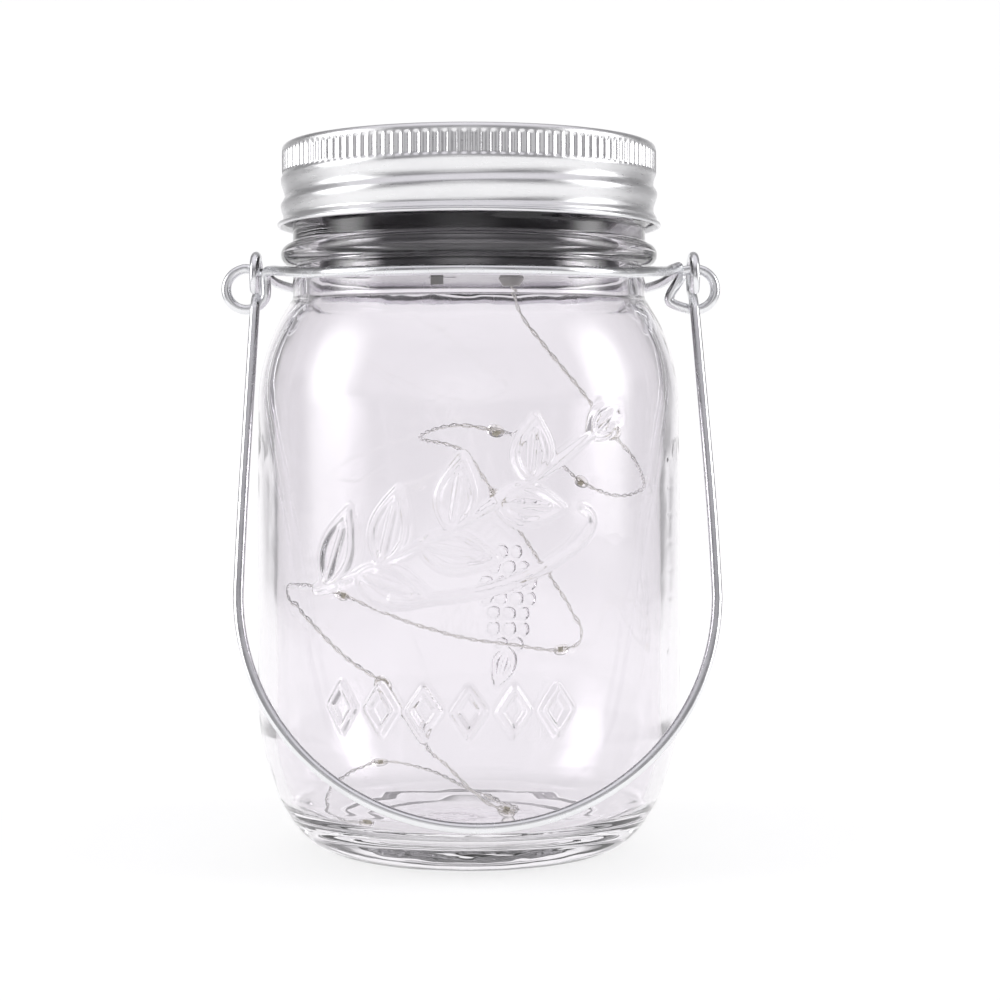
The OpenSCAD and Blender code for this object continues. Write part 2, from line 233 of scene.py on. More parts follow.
# ---------------------------------------------------------------- materials
def shader(name, color, rough, metal=0.0, **more):
    """A Principled material with constants on its own sockets."""
    m = bpy.data.materials.new(name)
    m.use_nodes = True
    bsdf = m.node_tree.nodes["Principled BSDF"]
    values = {"Base Color": (*color, 1), "Roughness": rough, "Metallic": metal, **more}
    for key, value in values.items():
        bsdf.inputs[key].default_value = value
    return m


def node(m, kind, **values):
    """A new node, with its sockets or settings given by name."""
    n = m.node_tree.nodes.new(kind)
    for key, value in values.items():
        if key in n.inputs:
            n.inputs[key].default_value = value
        else:
            setattr(n, key, value)
    return n


def link(m, a, out, b, to):
    """Joins an output of one node to an input of another."""
    m.node_tree.links.new(a.outputs[out], b.inputs[to])


def noise_of(m, scale, detail=4.0, stretch=(1, 1, 1)):
    """Noise over the object's own coordinates, in metres."""
    where = node(m, "ShaderNodeTexCoord")
    place = node(m, "ShaderNodeMapping")
    place.inputs["Scale"].default_value = stretch
    n = node(m, "ShaderNodeTexNoise", Scale=scale, Detail=detail)
    link(m, where, "Object", place, "Vector")
    link(m, place, "Vector", n, "Vector")
    return n


def add_bump(m, height, out, distance, strength=1.0):
    """Lets a texture stand out of the surface by a distance in metres."""
    b = node(m, "ShaderNodeBump", Distance=distance, Strength=strength)
    link(m, height, out, b, "Height")
    link(m, b, "Normal", m.node_tree.nodes["Principled BSDF"], "Normal")
    return b


def vary(m, source, out, socket, low, high, dark=0.3, light=0.7):
    """Lets a texture move a socket between two values or two colours."""
    ramp = node(m, "ShaderNodeValToRGB")
    for e, at, v in zip(ramp.color_ramp.elements, (dark, light), (low, high)):
        e.position = at
        e.color = (*v, 1) if hasattr(v, "__len__") else (v, v, v, 1)
    link(m, source, out, ramp, "Fac")
    link(m, ramp, "Color", m.node_tree.nodes["Principled BSDF"], socket)


def glass_material():
    """Clear pressed glass with a faint lilac tint and a slightly uneven skin."""
    m = shader("clear_glass", (0.924, 0.905, 0.93), 0.0, IOR=1.5)
    m.node_tree.nodes["Principled BSDF"].inputs["Transmission Weight"].default_value = 1.0
    n = noise_of(m, 90, 2.0, (1, 1, 0.6))
    add_bump(m, n, "Fac", 0.0004, 0.25)
    return m


def wire_material(name, tone):
    """Bright galvanised wire or bare steel, with a slightly cloudy skin."""
    m = shader(name, tone, 0.24, 1.0)
    n = noise_of(m, 240, 4.0)
    vary(m, n, "Fac", "Roughness", 0.18, 0.32)
    blotch = noise_of(m, 120, 3.0)
    vary(m, blotch, "Fac", "Base Color", tuple(0.9 * c for c in tone), tone)
    add_bump(m, n, "Fac", 0.00002, 0.15)
    return m


def enamel_material():
    """Fine wire in clear enamel, pale from every side."""
    m = shader("strand_silver", (0.97, 0.955, 0.92), 0.3, IOR=1.3)
    m.node_tree.nodes["Principled BSDF"].inputs["Transmission Weight"].default_value = 0.85
    n = noise_of(m, 500, 3.0)
    vary(m, n, "Fac", "Roughness", 0.22, 0.4)
    vary(m, n, "Fac", "Base Color", (0.93, 0.91, 0.85), (0.98, 0.965, 0.93))
    return m


def tinplate_material():
    """Satin tinplate with fine lines from rolling and turning round the band."""
    m = shader("tinplate", (0.87, 0.87, 0.88), 0.3, 1.0)
    lines = noise_of(m, 260, 6.0, (1, 1, 14))
    vary(m, lines, "Fac", "Roughness", 0.26, 0.38)
    cloud = noise_of(m, 60, 4.0)
    vary(m, cloud, "Fac", "Base Color", (0.84, 0.84, 0.85), (0.9, 0.9, 0.905))
    add_bump(m, lines, "Fac", 0.00003, 0.35)
    return m


def moulded(name, color, rough, scale=900, depth=0.00004, **more):
    """Moulded plastic or rubber with a faint skin texture."""
    m = shader(name, color, rough, **more)
    n = noise_of(m, scale, 4.0)
    vary(m, n, "Fac", "Roughness", max(0.02, rough * 0.8), min(1.0, rough * 1.25))
    add_bump(m, n, "Fac", depth, 0.4)
    cloud = noise_of(m, 120, 3.0)
    vary(m, cloud, "Fac", "Base Color", tuple(0.85 * c for c in color), color)
    return m


def cell_material():
    """Dark blue crystalline silicon with thin silver fingers."""
    m = shader("silicon", (0.02, 0.035, 0.11), 0.25, 0.4)
    where = node(m, "ShaderNodeTexCoord")
    crystals = node(m, "ShaderNodeTexVoronoi", Scale=160.0)
    link(m, where, "Object", crystals, "Vector")
    ramp = node(m, "ShaderNodeValToRGB")
    ramp.color_ramp.elements[0].color = (0.012, 0.022, 0.09, 1)
    ramp.color_ramp.elements[1].color = (0.035, 0.06, 0.19, 1)
    link(m, crystals, "Color", ramp, "Fac")
    fingers = node(m, "ShaderNodeTexWave", Scale=340.0, wave_type="BANDS", bands_direction="Y")
    link(m, where, "Object", fingers, "Vector")
    thin = node(m, "ShaderNodeValToRGB")
    thin.color_ramp.elements[0].position = 0.93
    thin.color_ramp.elements[1].position = 0.97
    link(m, fingers, "Fac", thin, "Fac")
    mix = node(m, "ShaderNodeMix", data_type="RGBA")
    link(m, thin, "Color", mix, 0)
    link(m, ramp, "Color", mix, 6)
    mix.inputs[7].default_value = (0.5, 0.52, 0.56, 1)
    link(m, mix, 2, m.node_tree.nodes["Principled BSDF"], "Base Color")
    return m


def resin_material(name, color, rough, ior):
    """Clear cast resin."""
    m = shader(name, color, rough, IOR=ior)
    m.node_tree.nodes["Principled BSDF"].inputs["Transmission Weight"].default_value = 1.0
    n = noise_of(m, 300, 2.0)
    add_bump(m, n, "Fac", 0.00003, 0.3)
    return m


GLASS = glass_material()
RING_WIRE = wire_material("ring_wire", (0.9, 0.905, 0.92))
BAIL_WIRE = wire_material("bail_wire", (0.92, 0.925, 0.94))
TINPLATE = tinplate_material()
HOUSING = moulded("black_housing", (0.016, 0.015, 0.017), 0.07, 300, 0.00003, IOR=2.2)
GASKET = moulded("gasket_rubber", (0.02, 0.02, 0.02), 0.55)
BACKING = moulded("panel_backing", (0.02, 0.025, 0.05), 0.4)
PCB = moulded("pcb", (0.02, 0.16, 0.05), 0.3)
CHIP = moulded("chip_plastic", (0.02, 0.02, 0.02), 0.5)
CHOKE = moulded("choke_sleeve", (0.12, 0.25, 0.16), 0.45)
CELL_SLEEVE = moulded("cell_sleeve", (0.04, 0.3, 0.12), 0.28)
SCREW = wire_material("screw_steel", (0.7, 0.7, 0.72))
SPRING = wire_material("spring_steel", (0.78, 0.78, 0.8))
SLIDER = moulded("slider_plastic", (0.6, 0.6, 0.57), 0.42)
GLAND = moulded("gland_nylon", (0.7, 0.69, 0.66), 0.4)
LEADS = moulded("lead_jacket", (0.35, 0.02, 0.02), 0.4)
STRAND = enamel_material()
PHOSPHOR = moulded("led_phosphor", (0.97, 0.92, 0.72), 0.5)
SILICON = cell_material()
WINDOW = resin_material("clear_resin", (0.93, 0.95, 0.98), 0.03, 1.45)
DROP = resin_material("led_epoxy", (0.99, 0.98, 0.95), 0.04, 1.42)

# ---------------------------------------------------------------- camera
CAMERA_AWAY = 0.400
CAMERA_UP = 0.0842
LENS = 73.5
SHIFT = (0.031, -0.089)


def photo_camera():
    """A level camera in front of the jar, shifted so that the jar sits where the photo has it."""
    cam = bpy.data.objects.new("camera", bpy.data.cameras.new("camera"))
    cam.data.sensor_width = 36.0
    cam.data.lens = LENS
    cam.data.shift_x, cam.data.shift_y = SHIFT
    cam.data.clip_start = 0.01
    cam.data.clip_end = 50.0
    cam.location = (0, -CAMERA_AWAY, CAMERA_UP)
    cam.rotation_euler = (math.pi / 2, 0, 0)
    bpy.context.scene.collection.objects.link(cam)
    bpy.context.scene.camera = cam


photo_camera()


# ---------------------------------------------------------------- LED strand: one free cord
STRAND_ROUTE = [
    (8, -10, 108), (8.7, -10, 106), (11, -9, 101), (24, -15, 84), (26, -18, 80.5),
    (31, -13, 74.5), (35, 4, 69), (31, 18, 67), (24, 26, 69.5), (17, 14, 75),
    (12, -2, 78.5), (5, -17, 80.5), (-3, -16, 81.5), (-9.5, -4, 79), (-1, 8, 76),
    (5.5, 12, 67), (20, 24, 45.5), (24, 26, 37.5), (20, 30, 34), (10, 34, 34.5),
    (-4, 36, 36.5), (-17, 32, 41), (-27, 24, 46), (-34, 12, 49), (-36, 0, 49.5),
    (-31, -11, 45.5), (-23, -18, 38.5), (-15.5, -24, 34), (-11.5, -20, 27), (-6.5, -6, 19),
    (0.5, -8, 11.5), (7, -12, 8.5), (9, -8, 8.5), (0, 4, 9.5), (-10, 18, 12),
    (-18.5, 20, 13), (-25.5, 8, 11), (-27, -9, 10), (-23, -21, 8.5), (-18.5, -24, 8.5)]
LED_AT = [4, 8, 11, 15, 18, 22, 27, 31, 35, 39]
STRAND_STEPS = 24
FINE_R = 0.17
LAY_R = 0.24
LAY_PITCH = 6.0
DROP_HALF = 1.75
LAST_HALF = 1.3
DROP_R = 1.25
WIRE_HOLE_R = 0.3
CHIP_SIZE = (1.0, 0.84, 0.32)
CHIP_UP = 0.3
BOX_FACES = [[0, 1, 3, 2], [4, 6, 7, 5], [0, 4, 5, 1], [2, 3, 7, 6], [0, 2, 6, 4], [1, 5, 7, 3]]


def twisted_pair(line, n, b):
    """Two fine wires twisted round each other along the line."""
    parts = []
    for phase in (0, math.pi):
        a = (2 * math.pi * length_along(line) / LAY_PITCH + phase)[:, None]
        parts.append(tube(line + LAY_R * (np.cos(a) * n + np.sin(a) * b), FINE_R, 8))
    return merged(parts)


def led_drop(at, along, half):
    """A long bead of resin that narrows onto the wire at both ends."""
    x = np.linspace(-1, 1, 15)
    size = WIRE_HOLE_R + (DROP_R - WIRE_HOLE_R) * np.sqrt(np.clip(1 - x ** 2, 0, 1))
    return tube(at + np.outer(x * half, along), size, 18, dome=False)


def led_chip(at, along, side, up):
    """A flat box on the wire."""
    long, wide, high = CHIP_SIZE
    corners = [at + along * p * long / 2 + side * q * wide / 2 + up * (r * high / 2 + CHIP_UP)
               for p in (-1, 1) for q in (-1, 1) for r in (-1, 1)]
    return corners, BOX_FACES


def led_strand():
    """The strand along its route, with ten drops on it, each with a chip inside."""
    line = through(STRAND_ROUTE, STRAND_STEPS)
    t, n, b = along_frames(line)
    wire = piece("strand_twist", twisted_pair(line, n, b), STRAND, "solar_lid",
                 ["strand_wire"])
    drops, chips = [], []
    for i in LED_AT:
        k = min(i * STRAND_STEPS, len(line) - 1)
        drops.append(led_drop(line[k], t[k], LAST_HALF if i == LED_AT[-1] else DROP_HALF))
        chips.append(led_chip(line[k], t[k], n[k], b[k]))
    drop = piece("strand_drops", facing_out(merged(drops)), DROP, "solar_lid",
                 ["led_drops"])
    chip = piece("strand_chips", facing_out(merged(chips)), PHOSPHOR, "solar_lid",
                 ["led_chips"], smooth=False)


led_strand()


# ---------------------------------------------------------------- glass jar
def jar_angles():
    """Angles round the jar, close together where the ornament is."""
    out, a = [], -180.0
    while a < 180:
        out.append(a)
        front = -142 <= a <= -52
        back = 62 <= a <= 92
        side = abs(abs(a) - 28) < 6 or abs(abs(a) - 152) < 6 or -20 < a < -2
        a += 0.5 if front or back else 1.0 if side else 2.0
    return np.radians(out)


def ridge(u, z, line, width):
    """How strongly a raised line shows at each point: 1 on the line and 0 past its width."""
    line = np.array(line, float)
    best = np.full(u.shape, 1e9)
    for a, b in zip(line[:-1], line[1:]):
        d = b - a
        k = np.clip(((u - a[0]) * d[0] + (z - a[1]) * d[1]) / max(d @ d, 1e-9), 0, 1)
        best = np.minimum(best, np.hypot(u - a[0] - k * d[0], z - a[1] - k * d[1]))
    return np.clip(1 - (best / width) ** 2, 0, 1) ** 1.5


def leaf(root, heading, long, wide):
    """The outline and midrib of a pointed leaf."""
    a = math.radians(heading)
    t = np.linspace(0, 1, 13)
    half = wide / 2 * np.sin(math.pi * t ** 0.8)
    axis, across = np.array([math.cos(a), math.sin(a)]), np.array([-math.sin(a), math.cos(a)])
    mid = np.array(root) + np.outer(t * long, axis)
    return [mid + half[:, None] * across, mid - half[:, None] * across, mid[:10]]


LOZENGES = 6
LOZENGE_PITCH = 8
LOZENGE_X = -24
LOZENGE_Z = 31.3
LOZENGE_HALF = (2.7, 4)


def front_ornament():
    """A climbing sprig above a row of lozenges, in place of any mark."""
    stem = bend((-30, 52), (-8, 58), (23, 80), 20)
    lines = [stem, bend((-14, 51), (4, 50), (20, 60), 14), bend((20, 60), (26, 65), (21, 67), 6)]
    for k, (at, side) in enumerate([(1, 1), (4, -1), (6, 1), (9, -1), (11, 1), (14, -1), (16, 1)]):
        d = stem[at + 1] - stem[at]
        turn = math.degrees(math.atan2(d[1], d[0]))
        lines += leaf(stem[at], turn + side * (52 if side > 0 else 38), 15 - 0.6 * k, 6.4)
    lines += leaf(stem[-1], 40, 9, 5)
    w, h = LOZENGE_HALF
    for k in range(LOZENGES):
        cx, cz = LOZENGE_X + LOZENGE_PITCH * k, LOZENGE_Z
        lines.append([(cx - w, cz), (cx, cz + h), (cx + w, cz), (cx, cz - h), (cx - w, cz)])
    return lines


def berries():
    """The middles of a hanging bunch of berries, sideways from its stem and up."""
    rows = (2, 3, 4, 4, 3, 3, 2)
    return [(dx, BUNCH_TOP - BERRY_ROW * row) for row, n in enumerate(rows)
            for dx in (np.arange(n) - (n - 1) / 2) * BERRY_PITCH]


PANEL_OUT = 0.2
ORNAMENT_OUT = 0.7
BERRY_OUT = 0.9
TICK_OUT = 0.03
THREAD_OUT = 1.35
BEAD_OUT = 2.3
BUNCH_TOP = 54
BUNCH_X = 9
BERRY_ROW = 3.3
BERRY_PITCH = 3.4
BERRY_R_SQUARED = 2.4
LINE_WIDTH = 0.95
LEAF_WIDTH = 0.8
THREAD_HALF = 1.25
BEAD_HALF = 2.2
TICKS = 10
TICK_LOW = 28
TICK_PITCH = 5.2
TICK_EDGE = -18
THREAD_FROM = -450.0
THREAD_TO = 100.0
THREAD_FADE = 40
FRONT_LINES = front_ornament()
BACK_SPOTS = berries()


def side_panels(a, z):
    """Wide shallow panels at the left and right, with arched tops."""
    deg = np.degrees(a)
    off = np.abs(np.where(np.cos(a) > 0, deg, (deg % 360) - 180))
    top = 80.5 - 5 * (off / 28) ** 2
    return smoothstep((31 - off) / 8) * smoothstep((top - z) / 6) * smoothstep((z - 18) / 12)


def highest(u, z, lines, width):
    """The highest of several raised lines at each point."""
    height = np.zeros_like(u)
    for line in lines:
        height = np.maximum(height, ridge(u, z, line, width))
    return height


def front_relief(a, z, outer):
    """How strongly the sprig and the lozenges show."""
    u = BODY_R * (a + math.pi / 2)
    here = outer & (np.abs(u + 4) < 34) & (z > 25) & (z < 93)
    height = np.zeros_like(a)
    height[here] = highest(u[here], z[here], FRONT_LINES, LINE_WIDTH)
    return height


def back_relief(a, z, outer):
    """How strongly the berries and their leaf show."""
    v = BODY_R * (math.pi / 2 - a)
    here = outer & (np.abs(v - BUNCH_X) < 9) & (z > 24) & (z < 60)
    vv, zz = v[here] - BUNCH_X, z[here]
    bump = highest(vv, zz, leaf((0, 33), 250, 8, 4), LEAF_WIDTH)
    for x, y in BACK_SPOTS:
        near = 1 - ((vv - x) ** 2 + (zz - y) ** 2) / BERRY_R_SQUARED
        bump = np.maximum(bump, np.sqrt(np.clip(near, 0, 1)))
    height = np.zeros_like(a)
    height[here] = bump
    return height


def thread_ridge(a, z):
    """The screw thread, one and a half turns whose ends fade into the neck."""
    out = np.zeros_like(a)
    for turn in (-360, 0):
        t = np.degrees(a) + turn
        middle = THREAD_Z + PITCH * t / 360
        fade = smoothstep((t - THREAD_FROM) / THREAD_FADE) * smoothstep((THREAD_TO - t) / THREAD_FADE)
        out += fade * np.clip(1 - ((z - middle) / THREAD_HALF) ** 2, 0, 1) ** 1.2
    return np.where(z > 117, out, 0)


def transfer_bead(z):
    """The round bead below the thread."""
    bead = np.clip(1 - ((z - BEAD_Z) / BEAD_HALF) ** 2, 0, 1) ** 0.5
    return np.where((z > 108) & (z < 118.5), bead, 0)


def glass_waves(a, z):
    """The faint waves of pressed glass, on the body only."""
    wave = 0.05 * np.sin(3 * a + z / 17) + 0.04 * np.sin(5 * a - z / 9 + 1)
    wave += 0.03 * np.sin(z / 6.5 + 2 * a)
    return wave * smoothstep((z - 20) / 8) * smoothstep((106 - z) / 6)


def glass_offset(a, z, row):
    """What stands proud of the turned shape on the outside, and the waves on both sides."""
    outer = row < OUTER_ROWS
    proud = PANEL_OUT * side_panels(a, z) + TICK_OUT * ridge_ticks(np.degrees(a), z)
    proud += ORNAMENT_OUT * front_relief(a, z, outer) + BERRY_OUT * back_relief(a, z, outer)
    proud += THREAD_OUT * thread_ridge(a, z) + BEAD_OUT * transfer_bead(z)
    return np.where(outer, proud, 0) + glass_waves(a, z)


def ridge_ticks(deg, z):
    """Graduation lines on the right panel, long and short in turn."""
    shown = np.zeros_like(deg)
    for k in range(TICKS):
        level, wide = TICK_LOW + TICK_PITCH * k, 5 if k % 2 else 8
        line = np.clip(1 - ((z - level) / 0.7) ** 2, 0, 1) ** 2
        ends = smoothstep(deg - TICK_EDGE) * smoothstep(TICK_EDGE + wide - deg)
        shown = np.maximum(shown, line * ends)
    return shown


def jar_outside():
    """The outside from the middle of the base up to the rim."""
    shoulder_x = BODY_R - SHOULDER_R
    turn = math.degrees(math.acos((NECK_R - shoulder_x) / SHOULDER_R))
    neck_low = BODY_TOP + SHOULDER_R * math.sin(math.radians(turn))
    rim_r = 1.2
    return joined(
        spaced([(0.4, 1.5), (12, 1.45)], 2.0),
        spaced(bend((12.5, 1.44), (21, 1.3), (CONTACT_R - 1.6, 0.03)), 0.7),
        [(CONTACT_R - 1.1, 0.0), (CONTACT_R - 0.5, 0.0)],
        spaced(bend((CONTACT_R, 0.05), (33, 0.9), (BODY_R - 3.85, 10), 24), 0.7),
        spaced(bend((BODY_R - 3.7, 10.4), (BODY_R - 2.6, 13.1), (BODY_R - 1.7, 16)), 0.8),
        spaced(bend((BODY_R - 1.6, 16.4), (BODY_R, 22), (BODY_R, 29)), 0.6),
        spaced([(BODY_R, 29.4), (BODY_R, BODY_TOP)], 0.42),
        spaced(arc(shoulder_x, BODY_TOP, SHOULDER_R, 0.6, turn, 40), 1.0),
        spaced([(NECK_R, neck_low + 0.4), (NECK_R, JAR_H - rim_r)], 0.33),
        spaced(arc(NECK_R - rim_r, JAR_H - rim_r, rim_r, 0, 90, 8), 0.4))


def jar_inside():
    """The inside from the rim down to the middle of the floor."""
    rim_r = 1.0
    throat = NECK_R - 3.1
    shoulder_x = BODY_R - SHOULDER_R
    inner_r = SHOULDER_R - GLASS_T
    turn = math.degrees(math.acos((throat - shoulder_x) / inner_r))
    throat_low = BODY_TOP + inner_r * math.sin(math.radians(turn))
    wall = BODY_R - GLASS_T
    return joined(
        spaced([(NECK_R - 1.3, JAR_H), (MOUTH_R + rim_r, JAR_H)], 0.6),
        spaced(arc(MOUTH_R + rim_r, JAR_H - rim_r, rim_r, 90, 180, 8), 0.4),
        spaced([(MOUTH_R, JAR_H - rim_r - 0.3), (MOUTH_R, 121)], 1.2),
        spaced(bend((MOUTH_R, 121), (MOUTH_R + 0.1, 118.5), (throat, 116.5)), 0.8),
        spaced([(throat, 116), (throat, throat_low)], 1.2),
        spaced(arc(shoulder_x, BODY_TOP, inner_r, turn - 1, 0, 40), 1.2),
        spaced([(wall, BODY_TOP - 1), (wall, 24)], 2.0),
        spaced(bend((wall, 23), (wall - 0.3, 18), (wall - 3.0, 11.4)), 0.8),
        spaced(bend((wall - 3.1, 11), (33.5, 6.5), (26, FLOOR_Z)), 0.6),
        spaced(bend((25.4, FLOOR_Z), (15, FLOOR_Z), (0.4, FLOOR_Z + 0.5)), 1.5))


OUTSIDE = jar_outside()
OUTER_ROWS = len(OUTSIDE)


def glass_jar():
    """The jar as one closed skin, inside and out."""
    profile = np.concatenate([OUTSIDE, jar_inside()])
    shape = revolve(profile, jar_angles(), glass_offset, closed=False)
    return piece("jar_glass", facing_out(shape), GLASS, "jar", ["glass_jar"])


glass_jar()


# ---------------------------------------------------------------- screw band
RIBS = 132
RIB_LOW = 130.1
RIB_HIGH = 134.6
RIB_DEEP = 0.26
STEEP = 0.36
ROLL_TOP = 130.6
ROLL_MID = -0.15
ROLL_DEEP = 0.38
BAND_R = 36.5
SHEET = 0.4
CORNER_R = 1.1
MOUTH_EDGE = 31.2
LIP_R = 0.46


def rolled(a, z):
    """The roll along the thread: out over the ridge, steep above it and gentle below it."""
    turn = (z - THREAD_Z - PITCH * np.degrees(a) / 360) / PITCH % 1
    wave = np.where(turn < STEEP, np.cos(math.pi * turn / STEEP),
                    -np.cos(math.pi * (turn - STEEP) / (1 - STEEP)))
    zone = smoothstep((ROLL_TOP - z) / 1.2) * smoothstep((z - BAND_LOW - 1.1) / 1.0)
    return zone * (ROLL_MID + ROLL_DEEP * wave)


def band_offset(a, z, row):
    """Ribs at the top edge and the roll below them."""
    rib = smoothstep((z - RIB_LOW) / 0.35) * smoothstep((RIB_HIGH - z) / 0.5)
    wave = np.clip(1.6 * np.cos(RIBS * a), -1, 1)
    roll = rolled(a, z)
    return np.where(row < BAND_OUTER, RIB_DEEP * rib * (wave - 1) / 2 + roll, -0.05 * rib + roll)


def band_outside():
    """The band from the edge of its window over the top and down to its curled lip."""
    top, low = BAND_TOP, BAND_LOW
    corner_x, corner_z = BAND_R - CORNER_R, top - 0.12 - CORNER_R
    return joined(
        [(MOUTH_EDGE - 0.45, top - 0.45), (MOUTH_EDGE - 0.6, top - 0.2),
         (MOUTH_EDGE - 0.45, top - 0.02)],
        spaced([(MOUTH_EDGE, top), (BAND_R - 2.6, top)], 0.9),
        spaced(bend((BAND_R - 2.4, top), (BAND_R - 1.6, top - 0.02), (corner_x, top - 0.12), 6), 0.4),
        spaced(arc(corner_x, corner_z, CORNER_R, 88, 0, 10), 0.25),
        spaced([(BAND_R, top - 1.4), (BAND_R, 130.2)], 0.26),
        spaced([(BAND_R, 129.9), (BAND_R, 121.4)], 0.2),
        spaced(bend((BAND_R, 121.1), (BAND_R + 0.05, 120.75), (BAND_R + 0.45, 120.72), 5), 0.2),
        spaced(arc(BAND_R + 0.45, low + 0.47, LIP_R, 80, -170, 14), 0.2))


def band_inside():
    """The other side of the sheet, from the lip back up to the window."""
    top, low = BAND_TOP, BAND_LOW
    corner_x, corner_z = BAND_R - CORNER_R, top - 0.12 - CORNER_R
    return joined(
        spaced([(BAND_R - SHEET, low + 0.65), (BAND_R - SHEET, top - 1.5)], 0.45),
        spaced(arc(corner_x, corner_z, CORNER_R - SHEET, 0, 88, 6), 0.3),
        spaced([(corner_x - 0.4, top - 0.5), (MOUTH_EDGE, top - 0.46)], 1.2))


BAND_OUT = band_outside()
BAND_OUTER = len(BAND_OUT)


def screw_band():
    """The knurled band of thin sheet."""
    angles = np.linspace(-math.pi, math.pi, RIBS * 8, endpoint=False)
    shape = revolve(np.concatenate([BAND_OUT, band_inside()]), angles, band_offset)
    return piece("band_tinplate", facing_out(shape), TINPLATE, "band", ["screw_band"])


screw_band()


# ---------------------------------------------------------------- neck wire and bail
EYE_X = 44.2
EYE_Z = 108.0
EYE_R = 4.0
LEFT_IN = 0.7
RING_R = NECK_R + WIRE_R + 0.1


def ring_arc(start, end, z_low, lift, n=60):
    """A stretch of the ring round the neck that rises towards its ends."""
    a = np.radians(np.linspace(start, end, n + 1))
    up = np.abs(np.cos(a)) ** 4
    return np.stack([RING_R * np.cos(a), RING_R * np.sin(a), z_low + lift * up], 1)


def eye_arc(side, start, end, y_from, y_to, n=30):
    """A stretch of an eye. The left eye sits a little further in."""
    a = np.radians(np.linspace(start, end, n + 1))
    y = np.linspace(y_from, y_to, n + 1)
    middle = EYE_X if side > 0 else EYE_X - LEFT_IN
    return np.stack([side * (middle + EYE_R * np.cos(a)), y, EYE_Z + EYE_R * np.sin(a)], 1)


def neck_wire():
    """One wire: cut end, front half, left eye, back half, right eye, cut end."""
    front = ring_arc(-34, -146, 109.5, 0.9)
    back = ring_arc(146, 34, 108.6, 0.2)
    knots = np.concatenate([
        [(41.0, -0.9, 112.4), (39.8, -2.3, 111.9), (38.2, -4.6, 111.3), (34.6, -12.2, 110.7)],
        front[::6],
        [(-34.6, -12.2, 110.7), (-38.2, -4.4, 111.4), (-39.6, -1.35, 110.9)],
        eye_arc(-1, 172, 172 + 282, -1.05, 0.15, 12)[1:],
        [(-40.2, 1.2, 111.0), (-38.2, 4.6, 109.6), (-34.6, 12.2, 108.8)],
        back[::6],
        [(34.6, 12.2, 108.8), (38.2, 4.8, 109.6), (40.8, 1.1, 111.2)],
        eye_arc(1, 96, 96 - 195, 0.12, -0.5, 9),
        [(41.0, -0.6, 104.7), (39.3, -0.7, 105.6), (39.4, -0.8, 107.0), (40.6, -0.9, 109.0),
         (41.5, -0.9, 110.4)]])
    line = through(knots, 8)
    return piece("ring_of_wire", facing_out(tube(line, WIRE_R * 0.97, 20)), RING_WIRE, "jar",
                 ["neck_wire"])


ARC_R = 44.1
ARC_X = 1.6
LEG_LEN = 64.8
LOOP_X = (-41.6, 43.8)
LOOP_R = 3.9
LOOP_DROP = 1.6


def bail():
    """A U of wire whose legs end in wound loops. Worked out hanging straight down, then tilted."""
    def leg(x, foot):
        """The loop at x and the leg that spreads from it towards the foot of the arc."""
        a = np.radians(np.linspace(338, 32, 27))
        ring = np.stack([np.full(len(a), x), LOOP_R * np.sin(a), -LOOP_DROP - LOOP_R * np.cos(a)], 1)
        low = -LOOP_DROP - LOOP_R
        spread = foot - x
        return np.concatenate([ring, [
            (x, 1.15, low - 0.55), (x, 0.3, low - 2.2), (x + 0.06 * spread, 0, low - 4.5),
            (x + 0.5 * spread, 0, -30), (x + 0.88 * spread, 0, -50)]])
    a = np.radians(np.linspace(180, 360, 41))
    bottom = np.stack([ARC_X + ARC_R * np.cos(a), np.zeros(41), -LEG_LEN + ARC_R * np.sin(a)], 1)
    knots = np.concatenate([leg(LOOP_X[0], ARC_X - ARC_R), bottom,
                            leg(LOOP_X[1], ARC_X + ARC_R)[::-1]])
    line = spaced(through(knots, 6), 0.8)
    turn = np.array([[1, 0, 0], [0, math.cos(TILT), math.sin(TILT)],
                     [0, -math.sin(TILT), math.cos(TILT)]])
    line = line @ turn.T + (0, 0, PIVOT_Z)
    return piece("bail_of_wire", facing_out(tube(line, WIRE_R * 0.98, 20)), BAIL_WIRE, "bail",
                 ["bail_handle"])


neck_wire()
bail()

# ---------------------------------------------------------------- finishes of the CAD nodes that stay
FINISHES = {
    "rim_gasket": GASKET, "lid_shell": HOUSING, "panel_board": BACKING, "solar_cells": SILICON,
    "panel_window": WINDOW, "housing_base": HOUSING, "cover_screws": SCREW, "circuit_board": PCB,
    "driver_chip": CHIP, "choke_coil": CHOKE, "battery_cell": CELL_SLEEVE, "battery_spring": SPRING,
    "battery_contacts": SPRING, "switch_case": SCREW, "switch_slider": SLIDER,
    "strand_gland": GLAND, "strand_leads": STRAND, "panel_leads": LEADS,
}


def finish_cad_nodes():
    """Gives each CAD node that stays in the picture its material."""
    for name, finish in FINISHES.items():
        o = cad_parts[name]
        for slot in o.material_slots:
            slot.material = finish
        if not o.material_slots:
            o.data.materials.append(finish)


finish_cad_nodes()


# ---------------------------------------------------------------- floor, world and lights
PAPER_GLOW = 0.745
PAPER_DIM = 0.25


def lit_until(m, source, out, start, end):
    """1 up to start and PAPER_DIM past end, in metres."""
    fall = node(m, "ShaderNodeMapRange", interpolation_type="SMOOTHSTEP")
    for key, value in (("From Min", start), ("From Max", end), ("To Min", 1.0), ("To Max", PAPER_DIM)):
        fall.inputs[key].default_value = value
    link(m, source, out, fall, "Value")
    return fall


